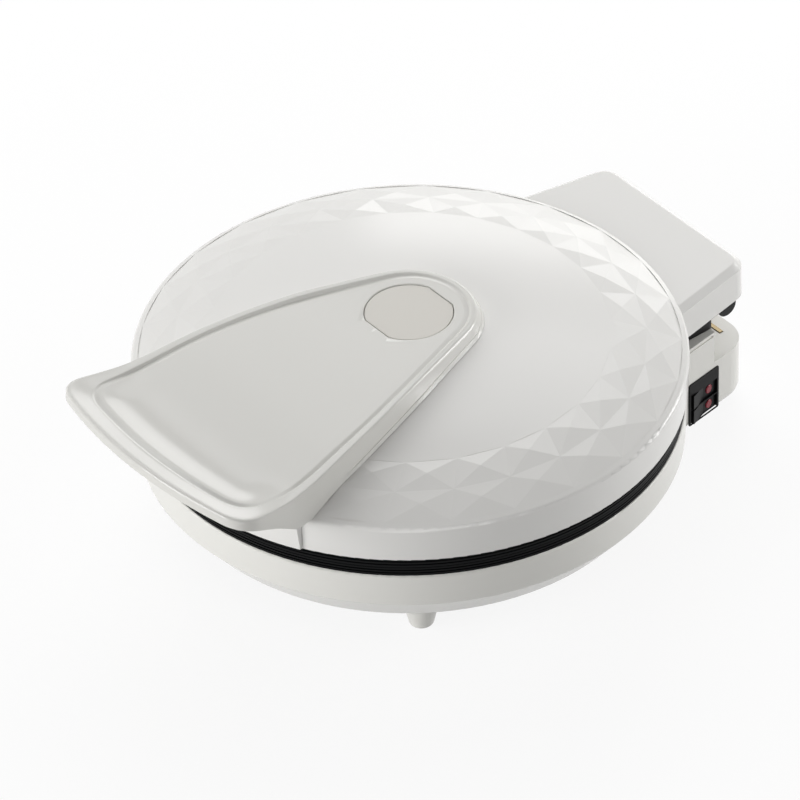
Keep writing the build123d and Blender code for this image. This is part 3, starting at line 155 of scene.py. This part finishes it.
# Twin rocker switch. Black polyamide frame and rockers from a lightly eroded mould, so they
# are satin. Each rocker turns on the steel pin.
switch_black, switch_shader = material("polyamide_satin_black", "#0C0C0D", 0.34, ior=1.5)
uneven(switch_black, switch_shader, spacing=0.35, depth=0.006)
switch_shader.inputs["Specular IOR Level"].default_value = 0.12
dress(switch_black, "switch_plastic", "switch_frame", "main_rocker", "upper_rocker")


# Switch lenses. Clear red polycarbonate over a small lamp that is not lit.
lens_red, lens_shader = material("polycarbonate_clear_red", "#7F0A22", 0.2, ior=1.5)
uneven(lens_red, lens_shader, spacing=1.2, depth=0.01)
lens_shader.inputs["Specular IOR Level"].default_value = 0.3
dress(lens_red, "lamp_lens", "main_lamp", "upper_lamp")


# Lid frame. Pressed sheet steel with a bright zinc plating; fine lines left by rolling run in
# one direction.
zinc, zinc_shader = material("zinc_plated_sheet", "#B9BBBD", 0.34, metallic=1.0)
zinc_place = add(zinc, "ShaderNodeTexCoord", {})
zinc_stretch = add(zinc, "ShaderNodeMapping", {"Scale": (1000 / 40.0, 1000 / 0.6, 1000 / 0.6)}, {
    "Vector": zinc_place.outputs["Object"],
})
zinc_lines = add(zinc, "ShaderNodeTexNoise", {"Scale": 1.0, "Detail": 3.0}, {
    "Vector": zinc_stretch.outputs["Vector"],
})
zinc_rough = add(zinc, "ShaderNodeMapRange", {"To Min": 0.26, "To Max": 0.44}, {
    "Value": zinc_lines.outputs["Fac"],
})
zinc.node_tree.links.new(zinc_rough.outputs["Result"], zinc_shader.inputs["Roughness"])
dress(zinc, "frame_steel", "upper_frame")


# Hinge yoke. Thicker sheet with a yellow passivated zinc plating, dull and a little cloudy.
yellow_zinc, yellow_shader = material("zinc_plated_yellow_passivated", "#A39374", 0.4, metallic=1.0)
uneven(yellow_zinc, yellow_shader, spacing=5.0, depth=0.006)
dress(yellow_zinc, "yoke_steel", "hinge_yoke")


# Hinge rod and switch pin. Drawn round steel, smooth and grey.
drawn, drawn_shader = material("drawn_steel", "#A9ABAD", 0.24, metallic=1.0)
uneven(drawn, drawn_shader, spacing=0.6, depth=0.003)
dress(drawn, "pin_steel", "hinge_rod", "rocker_pin")


# Screws. Zinc-plated steel with a cross recess, in every place where two pieces are joined.
plated, plated_shader = material("zinc_plated_screw_steel", "#B4B6B8", 0.30, metallic=1.0)
uneven(plated, plated_shader, spacing=0.5, depth=0.004)
dress(
    plated, "screw_steel",
    "bottom_screws", "plate_screws", "handle_screws", "crown_screws", "frame_screws", "hood_screws",
)


# Hood floor. Black heat-resistant moulding under the hood: plate, hinge barrels and block.
hinge_black, hinge_shader = material("phenolic_satin_black", "#101011", 0.38, ior=1.5)
uneven(hinge_black, hinge_shader, spacing=0.6, depth=0.01)
hinge_shader.inputs["Specular IOR Level"].default_value = 0.25
dress(hinge_black, "hinge_plastic", "hood_floor")


# Lid cover and grip. Glossy white ABS, hardly warmer than neutral, from a polished mould: the
# facets of the ring show only by how they catch the light.
lid_white, lid_shader = material("abs_polished_white", "#E8E7E4", 0.2, ior=1.5)
uneven(lid_white, lid_shader, spacing=18.0, depth=0.015)
dress(lid_white, "lid_plastic", "lid_cover", "grip")


# Handle. The same ABS from its own mould; its white is set a shade darker than the lid's, as
# painted shade on its top. Its rim is a low rounded crest with a fine groove inside it, which run
# round the long shield and out along the lip; inside them the top is slightly sunk and sweeps up to
# the lip like a scoop.
handle_white_painted_shade, handle_shader = material("abs_white_painted_darker", "#D9D8D3", 0.15, ior=1.5)
uneven(handle_white_painted_shade, handle_shader, spacing=20.0, depth=0.015)

# Lines along the handle, in millimetres: each point is a place from the middle of the griddle,
# minus toward the lip, and its value there. Crest, plate and grip are heights above the table,
# flank a half width, lean the wall's slope and groove the way from the edge to the groove.
crest_line = (
    (66, 129.8), (41, 131.4), (20, 132.4), (-7, 132.9), (-37, 132.9),
    (-57, 131.8), (-76, 130.2), (-95, 128.2), (-114, 125.6), (-127, 123.3),
    (-141, 121.5), (-155, 121.2), (-178, 124.0), (-198, 127.8), (-214, 130.4),
)
plate_line = (
    (66, 130.9), (41, 131.3), (0, 131.5), (-30, 131.3), (-57, 130.5),
    (-76, 129.1), (-95, 127.3), (-114, 124.8), (-128, 122.3), (-148, 119.7),
    (-164, 119.6), (-176, 120.7), (-190, 123.6), (-202, 126.6), (-214, 129.4),
)
flank_line = (
    (13.2, 38.0), (-6.6, 44.9), (-37.4, 55.4), (-57.1, 61.3), (-76.4, 66.5), (-95.4, 71.0),
    (-113.8, 74.8), (-127.2, 77.4), (-141.0, 79.8), (-163.0, 83.1), (-195.0, 87.2),
)
lean_line = (
    (66, 0.5), (0, 0.48), (-40, 0.38), (-76, 0.3),
    (-141, 0.22), (-170, 0.18), (-195, 0.08), (-214, 0.08),
)
groove_line = (
    (66, 4.9), (-60, 4.9), (-100, 5.3), (-141, 6.8),
    (-170, 10.0), (-190, 12.0), (-214, 12.0),
)
grip_line = (
    (-141, 91.0), (-152, 100.5), (-168, 110.5), (-187, 118.4), (-207, 123.1), (-214, 123.6),
)
# outline in plan: rear end, front of the lip and its two corners
apex_radius = 40.2
apex_turn = 19.2
lip_reach = 206.2
lip_bow = 290.0
lip_groove = 14.0
corner_outer = 15.0
corner_inner = 17.0
corner_search_from = -140.0
corner_search_step = 0.05
# rim: outer rounding, crest, groove and the step that the lip's band keeps beside it
edge_round = 1.4
lip_round = 2.4
lip_round_grows = (160, 195)
groove_drop = 1.9
groove_rise = 3.4
groove_depth = 0.45
groove_fades_from = -150
groove_fades_over = (8, 50)
brink_drop = 0.12
lip_step = 0.5
lip_band_grows = (150, 184)
# scoop: a bank that rises to the groove round the front of the sunk top
bank_rise = 2.0
bank_width = 20.0
bank_grows = (140, 178)
bank_from = -135
bank_edge_from = -100
# wall and the low ledge at its foot
foot_low = 102.0
foot_passes = 12
wall_share = 0.4
ledge_height = 2.4
ledge_out = 0.55
ledge_grows = (-118, -100)
ledge_lap = 0.02
ledge_bevel = 0.12
# pocket of the cap, the lid's dome under the handle, and the underside
cap_radius = 26.8
cap_half_length = 24.5
pocket_floor = 127.4
pocket_lip_drop = 0.35
pocket_margin = 0.3
crown_height = 125.8
crown_sphere = 632.0
shoulder_start = 130.0
shoulder_radius = 200.0
lid_edge = 165.6
seat_gap = 0.3
handle_wall = 3.0
lip_solid_from = -193.0
lip_faces_front = 0.3
ceiling_from = 0.6
ceiling_drop = 0.9
ceiling_margin = 2.0
pan_y = -1.75
# columns round the outline and rows across a section
columns_front = 30
columns_corner = 20
columns_flank = 64
columns_apex = 20
rows_plate = 30
rows_gather = 1.25
rows_groove = 8
rows_crest = 5
rows_rounding = 7
rows_wall = 4
rows_ceiling = 8
sharp_from = 50


def height_at(line, y):
    """Value of one of the handle's lines at a place along it: cubic pieces through its points."""
    points = sorted(line)
    index = 0
    while index < len(points) - 2 and points[index + 1][0] < y:
        index += 1
    start, end = points[index], points[index + 1]
    before = points[max(index - 1, 0)]
    after = points[min(index + 2, len(points) - 1)]
    span = end[0] - start[0]
    slope_in = (end[1] - before[1]) / (end[0] - before[0]) * span
    slope_out = (after[1] - start[1]) / (after[0] - start[0]) * span
    t = (y - start[0]) / span
    return (
        (2 * t ** 3 - 3 * t ** 2 + 1) * start[1] + (t ** 3 - 2 * t ** 2 + t) * slope_in
        + (3 * t ** 2 - 2 * t ** 3) * end[1] + (t ** 3 - t ** 2) * slope_out
    )


def dome_height(radius):
    """Height of the lid's smooth dome at a distance from its middle."""
    base = crown_height - crown_sphere
    if radius < shoulder_start:
        return base + math.sqrt(crown_sphere ** 2 - radius ** 2)
    slope = math.asin(shoulder_start / crown_sphere)
    middle = shoulder_start - shoulder_radius * math.sin(slope)
    rise = base + (crown_sphere - shoulder_radius) * math.cos(slope)
    return rise + math.sqrt(shoulder_radius ** 2 - (radius - middle) ** 2)


def ease(value, start, end):
    """Smooth change from 0 at start to 1 at end."""
    t = min(max((value - start) / (end - start), 0.0), 1.0)
    return t * t * (3 - 2 * t)


def flank_place(y, inset):
    """Place on the handle's right flank, inset by a share of the way to the groove."""
    slope = (height_at(flank_line, y + 1) - height_at(flank_line, y - 1)) / 2
    inward = Vector((-1.0, slope)).normalized()
    return Vector((height_at(flank_line, y), y)) + inward * inset * height_at(groove_line, y)


def outline(inset, corner):
    """Right half of the handle in plan, from the middle of the lip round to the apex, as places
    with their direction inward: inset 0 is the outer edge, inset 1 the groove."""
    def front_y(x):
        return x ** 2 / (2 * lip_bow) - lip_reach + inset * lip_groove

    meet = corner_search_from
    while flank_place(meet, inset).y > front_y(flank_place(meet, inset).x):
        meet -= corner_search_step
    sharp = flank_place(meet, inset)
    front_end = sharp.x - corner
    flank_start = meet + corner
    first = Vector((front_end, front_y(front_end)))
    last = flank_place(flank_start, inset)
    places = []
    for step in range(columns_front):
        x = front_end * step / columns_front
        places.append(Vector((x, front_y(x))))
    for step in range(columns_corner):
        t = step / columns_corner
        places.append(first * (1 - t) ** 2 + sharp * 2 * t * (1 - t) + last * t ** 2)
    top = flank_line[0][0]
    for step in range(columns_flank):
        places.append(flank_place(flank_start + (top - flank_start) * step / columns_flank, inset))
    radius = apex_radius - inset * groove_line[0][1]
    for step in range(columns_apex + 1):
        angle = math.radians(apex_turn + (90 - apex_turn) * step / columns_apex)
        places.append(Vector((math.cos(angle), math.sin(angle))) * radius)
    shaped = []
    mirrored_first = Vector((-places[1].x, places[1].y))
    mirrored_last = Vector((-places[-2].x, places[-2].y))
    for index, place in enumerate(places):
        before = places[index - 1] if index else mirrored_first
        after = places[index + 1] if index < len(places) - 1 else mirrored_last
        along = (after - before).normalized()
        shaped.append((place, Vector((-along.y, along.x))))
    return shaped


def cap_edge(point, spare=0.0):
    """Place on the cap's pocket in the same direction from the middle as a point."""
    ray = Vector((point.x, point.y)).normalized()
    reach = cap_radius + spare
    if abs(ray.y) > 1e-6:
        reach = min(reach, (cap_half_length + spare) / abs(ray.y))
    return ray * reach


def handle_column(outer, groove, plate_edge):
    """Section of the handle from the pocket's foot, out over the rim and back in underneath."""
    place, inward = outer
    channel, channel_inward = groove
    top_z = height_at(crest_line, place.y)
    lean = height_at(lean_line, place.y)

    def on_wall(z):
        return place - inward * lean * (top_z - z)

    def plate_height(spot):
        lift = 0.0
        if spot.y < bank_from:
            distance = min(math.hypot(spot.x - x, spot.y - y) for x, y in plate_edge)
            lift = bank_rise * ease(-spot.y, *bank_grows) * (1 - ease(distance, 0, bank_width))
        return height_at(plate_line, spot.y) + lift

    foot_z = foot_low
    for _ in range(foot_passes):
        spot = on_wall(foot_z)
        foot_z = foot_low
        if spot.length < lid_edge:
            foot_z = max(foot_z, dome_height(spot.length) + seat_gap)
        if spot.y < grip_line[0][0]:
            foot_z = max(foot_z, height_at(grip_line, spot.y))
    section = []
    # inside: from the pocket's edge out to the groove
    inner = channel + channel_inward * groove_rise
    edge = cap_edge(inner)
    section.append((edge, pocket_floor))
    section.append((edge, height_at(plate_line, edge.y) - pocket_lip_drop))
    for step in range(rows_plate + 1):
        t = step / rows_plate
        share = 1 - (1 - t) ** rows_gather
        spot = (edge + (inner - edge).normalized() * pocket_margin).lerp(inner, share)
        section.append((spot, plate_height(spot)))
    # groove, then the drop's other side up to the crest
    fade = 1.0 if channel.y > groove_fades_from else ease(abs(channel.x), *groove_fades_over)
    channel_z = plate_height(inner) - groove_depth * fade
    for step in range(1, rows_groove + 1):
        t = step / rows_groove
        z = plate_height(inner) + (channel_z - plate_height(inner)) * ease(t, 0, 1)
        section.append((inner.lerp(channel, t), z))
    width = (place - channel).length
    brink = channel.lerp(place, groove_drop / width)
    crest_z = height_at(crest_line, brink.y) - brink_drop
    brink_z = crest_z + (channel_z + lip_step - crest_z) * ease(-channel.y, *lip_band_grows)
    for step in range(1, rows_groove + 1):
        t = step / rows_groove
        section.append((channel.lerp(brink, t), channel_z + (brink_z - channel_z) * ease(t, 0, 1)))
    # crest, its outer edge, then the wall down to a low ledge at the foot
    rounding = edge_round + (lip_round - edge_round) * ease(-place.y, *lip_round_grows)
    turn = place + (brink - place).normalized() * rounding
    turn_z = height_at(crest_line, turn.y)
    for step in range(1, rows_crest + 1):
        spot = brink.lerp(turn, step / rows_crest)
        section.append((spot, brink_z + (turn_z - brink_z) * step / rows_crest))
    drop = min(rounding, (top_z - foot_z) * wall_share)
    below = on_wall(top_z - drop)
    for step in range(1, rows_rounding + 1):
        t = step / rows_rounding
        spot = turn * (1 - t) ** 2 + place * 2 * t * (1 - t) + below * t ** 2
        z = turn_z * (1 - t) ** 2 + top_z * 2 * t * (1 - t) + (top_z - drop) * t ** 2
        section.append((spot, z))
    ledge = ledge_out * ease(place.y, *ledge_grows)
    ledge_z = foot_z + min(ledge_height, (top_z - foot_z) * wall_share)
    for step in range(1, rows_wall + 1):
        z = (top_z - drop) + (ledge_z - top_z + drop) * step / rows_wall
        section.append((on_wall(z), z))
    section.append((on_wall(ledge_z) - inward * (ledge + ledge_lap), ledge_z - ledge_bevel))
    foot = on_wall(foot_z) - inward * (ledge + ledge_lap)
    section.append((foot, foot_z))
    # underneath: wall thickness, then the ceiling
    inside = foot + inward * handle_wall
    if inside.y < lip_solid_from and inward.y > lip_faces_front:
        inside = inside + inward * ((lip_solid_from - inside.y) / inward.y)
    inside_z = foot_z
    if inside.length < lid_edge:
        inside_z = max(foot_z, dome_height(inside.length) + seat_gap)
    if inside.y < grip_line[0][0]:
        inside_z = max(inside_z, height_at(grip_line, inside.y))
    section.append((inside, inside_z))
    ceiling_outer = inside.lerp(channel, ceiling_from)
    for step in range(rows_ceiling + 1):
        spot = ceiling_outer.lerp(cap_edge(inner, ceiling_margin), step / rows_ceiling)
        ceiling = height_at(plate_line, spot.y) - handle_wall - ceiling_drop
        section.append((spot, max(ceiling, dome_height(min(spot.length, lid_edge)) + seat_gap)))
    return section


def handle_mesh():
    """The handle as one closed mesh, built from its sections."""
    outer = outline(0.0, corner_outer)
    groove = outline(1.0, corner_inner)
    edge_right = [place + inward * groove_rise for place, inward in groove]
    plate_edge = [(place.x, place.y) for place in edge_right if place.y < bank_edge_from]
    plate_edge += [(-x, y) for x, y in plate_edge]
    right = [handle_column(*pair, plate_edge) for pair in zip(outer, groove)]
    left = [[(Vector((-spot.x, spot.y)), z) for spot, z in section] for section in right[-2:0:-1]]
    sections = right + left
    rows = len(sections[0])
    points = [
        (spot.x / 1000, (spot.y + pan_y) / 1000, z / 1000)
        for section in sections for spot, z in section
    ]
    faces = []
    count = len(sections)
    for column in range(count):
        after = (column + 1) % count
        for row in range(rows - 1):
            faces.append((
                column * rows + row, column * rows + row + 1,
                after * rows + row + 1, after * rows + row,
            ))
    top_middle = len(points)
    points.append((0.0, pan_y / 1000, pocket_floor / 1000))
    under_middle = len(points)
    points.append((0.0, pan_y / 1000, (crown_height + seat_gap) / 1000))
    for column in range(count):
        after = (column + 1) % count
        faces.append((top_middle, column * rows, after * rows))
        faces.append((under_middle, after * rows + rows - 1, column * rows + rows - 1))
    mesh = bpy.data.meshes.new("handle_shell")
    mesh.from_pydata(points, [], faces)
    for face in mesh.polygons:
        face.use_smooth = True
    mesh.set_sharp_from_angle(angle=math.radians(sharp_from))
    return mesh


handle = bpy.data.objects.new("handle_shell", handle_mesh())
bpy.context.scene.collection.objects.link(handle)
handle.data.materials.append(handle_white_painted_shade)
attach(handle, "lid")
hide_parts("handle")


# Cap over the handle's middle screws. Warm grey ABS from a spark-eroded mould: matt, with a
# grain of about a third of a millimetre.
cap_grey, cap_shader = material("abs_matt_warm_grey", "#D8D5CE", 0.5, ior=1.5)
uneven(cap_grey, cap_shader, spacing=0.35, depth=0.008)
dress(cap_grey, "cap_plastic", "handle_cap")


# Studio: a white room with soft boxes standing low round the griddle, the strongest behind it.
# The camera and reflections see a white floor with a faint shadow, and a white room.
def seen(made_nodes):
    """1 for rays from the camera, from a reflection or through glass, 0 for the rest."""
    rays = add(made_nodes, "ShaderNodeLightPath", {})
    level = rays.outputs["Is Camera Ray"]
    for ray in ("Is Glossy Ray", "Is Transmission Ray"):
        either = add(made_nodes, "ShaderNodeMath", {"operation": "MAXIMUM"})
        made_nodes.node_tree.links.new(level, either.inputs[0])
        made_nodes.node_tree.links.new(rays.outputs[ray], either.inputs[1])
        level = either.outputs["Value"]
    return level


floor_half = 6.0
floor_lit = 0.48
floor_glow_share = 0.88
room_lit = 0.16
floor_mesh = bpy.data.meshes.new("studio_floor")
floor_corners = [
    (-floor_half, -floor_half, 0), (floor_half, -floor_half, 0),
    (floor_half, floor_half, 0), (-floor_half, floor_half, 0),
]
floor_mesh.from_pydata(floor_corners, [], [(0, 1, 2, 3)])
floor = bpy.data.objects.new("studio_floor", floor_mesh)
bpy.context.scene.collection.objects.link(floor)
floor_paint, floor_shader = material("studio_floor_white", "#FFFFFF", 0.9)
floor_white = add(floor_paint, "ShaderNodeMapRange", {"To Min": floor_lit, "To Max": 1.0}, {
    "Value": seen(floor_paint),
})
floor_paint.node_tree.links.new(floor_white.outputs["Result"], floor_shader.inputs["Base Color"])
floor_seen = add(floor_paint, "ShaderNodeMath", {"operation": "MULTIPLY"})
floor_paint.node_tree.links.new(seen(floor_paint), floor_seen.inputs[0])
floor_seen.inputs[1].default_value = floor_glow_share
floor_glow = add(floor_paint, "ShaderNodeEmission", {
    "Color": (1.0, 1.0, 1.0, 1.0), "Strength": 1.0,
})
floor_mix = add(floor_paint, "ShaderNodeMixShader", {})
floor_paint.node_tree.links.new(floor_seen.outputs["Value"], floor_mix.inputs[0])
floor_paint.node_tree.links.new(floor_shader.outputs["BSDF"], floor_mix.inputs[1])
floor_paint.node_tree.links.new(floor_glow.outputs["Emission"], floor_mix.inputs[2])
floor_paint.node_tree.links.new(
    floor_mix.outputs["Shader"], floor_paint.node_tree.nodes["Material Output"].inputs["Surface"]
)
floor.data.materials.append(floor_paint)

world = bpy.data.worlds.new("studio")
bpy.context.scene.world = world
world.use_nodes = True
sky = world.node_tree.nodes["Background"]
sky.inputs["Color"].default_value = (1.0, 1.0, 1.0, 1.0)
sky_level = add(world, "ShaderNodeMapRange", {"To Min": room_lit, "To Max": 1.0}, {
    "Value": seen(world),
})
world.node_tree.links.new(sky_level.outputs["Result"], sky.inputs["Strength"])

view_side = math.radians(51.78)
lamps_aim = Vector((0.0, 0.0, 0.08))


def softbox(name, turn, lift, reach, size, watts, mirrored=True):
    """Soft lamp that looks at the griddle. Its turn is counted from the camera's side to the
    right, its lift above the floor, both in degrees; its size is its width and height."""
    lamp = bpy.data.lights.new(name, "AREA")
    lamp.shape = "RECTANGLE"
    lamp.size, lamp.size_y = size
    lamp.energy = watts
    box = bpy.data.objects.new(name, lamp)
    heading = view_side + math.radians(turn)
    flat = reach * math.cos(math.radians(lift))
    height = reach * math.sin(math.radians(lift))
    box.location = (flat * math.sin(heading), -flat * math.cos(heading), height)
    box.rotation_euler = (box.location - lamps_aim).to_track_quat("Z", "Y").to_euler()
    box.visible_glossy = mirrored
    bpy.context.scene.collection.objects.link(box)


# The strong lamp behind stands for a lit wall, so it isn't mirrored. Two weak ones behind the
# griddle give the sheen on the facets and in the scoop of the handle.
softbox("lamp_behind", 188, 32, 2.6, (2.2, 1.0), 36.0, mirrored=False)
softbox("lamp_sheen", 168, 17, 2.6, (1.3, 0.8), 5.5)
softbox("lamp_card", 180, 50, 2.4, (2.0, 0.9), 9.0)
softbox("lamp_left", -66, 14, 2.4, (1.6, 1.0), 37.0)
softbox("lamp_right", 105, 14, 2.4, (1.4, 1.0), 35.0)
softbox("lamp_front", 0, 10, 2.6, (1.4, 0.8), 10.0)


# Camera: long lens, above the right front, turned a little about its own axis.
plates_middle = Vector((0.0, -0.00175, 0.078))
azimuth = view_side
elevation = math.radians(38.73)
roll = math.radians(-1.62)
distance = 4.16167
aside = 0.00639
above = 0.01042
back = Vector((
    math.sin(azimuth) * math.cos(elevation),
    -math.cos(azimuth) * math.cos(elevation),
    math.sin(elevation),
))
level_right = Vector((math.cos(azimuth), math.sin(azimuth), 0.0))
level_up = back.cross(level_right)
right = level_right * math.cos(roll) + level_up * math.sin(roll)
up = level_up * math.cos(roll) - level_right * math.sin(roll)
view = bpy.data.cameras.new("camera")
view.sensor_width = 36.0
view.lens = 315.0
view.clip_end = 50.0
camera = bpy.data.objects.new("camera", view)
facing = Matrix((right, up, back)).transposed()
camera_place = plates_middle + back * distance - right * aside - up * above
camera.matrix_world = Matrix.Translation(camera_place) @ facing.to_4x4()
bpy.context.scene.collection.objects.link(camera)
bpy.context.scene.camera = camera
bpy.context.scene.view_settings.view_transform = "Standard"
